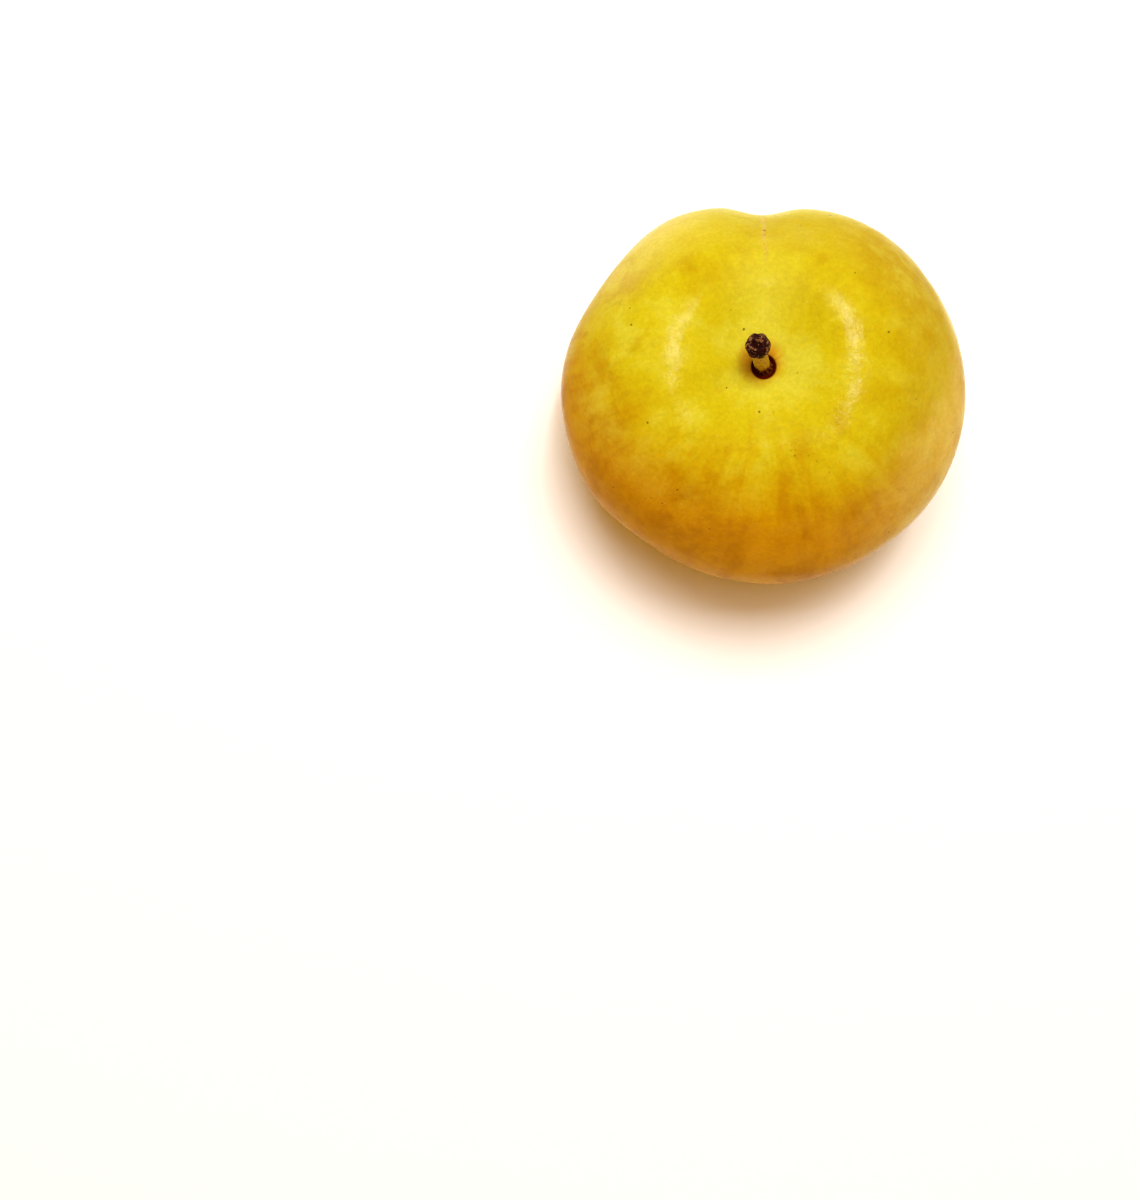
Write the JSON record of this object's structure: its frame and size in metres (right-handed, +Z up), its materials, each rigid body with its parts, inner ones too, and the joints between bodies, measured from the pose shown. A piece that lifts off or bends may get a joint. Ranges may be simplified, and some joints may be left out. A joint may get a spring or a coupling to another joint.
{
  "type": "yellow plum",
  "caption": "Whole yellow plum with a suture groove, a stalk cavity and a short woody stalk, resting on its blossom end.",
  "frame": {"origin": "under the middle of the fruit, on the plane that it rests on", "axes": "+Z up along the fruit's core towards the stalk, +Y towards the suture, +X across the two cheeks"},
  "size_m": [0.0542, 0.0496, 0.0514],
  "materials": {
    "plum_skin": "satin, waxy",
    "stalk_bark": "matt"
  },
  "bodies": {
    "root": {"fruit": "plum_skin", "stalk": "stalk_bark"}
  },
  "joints": []
}
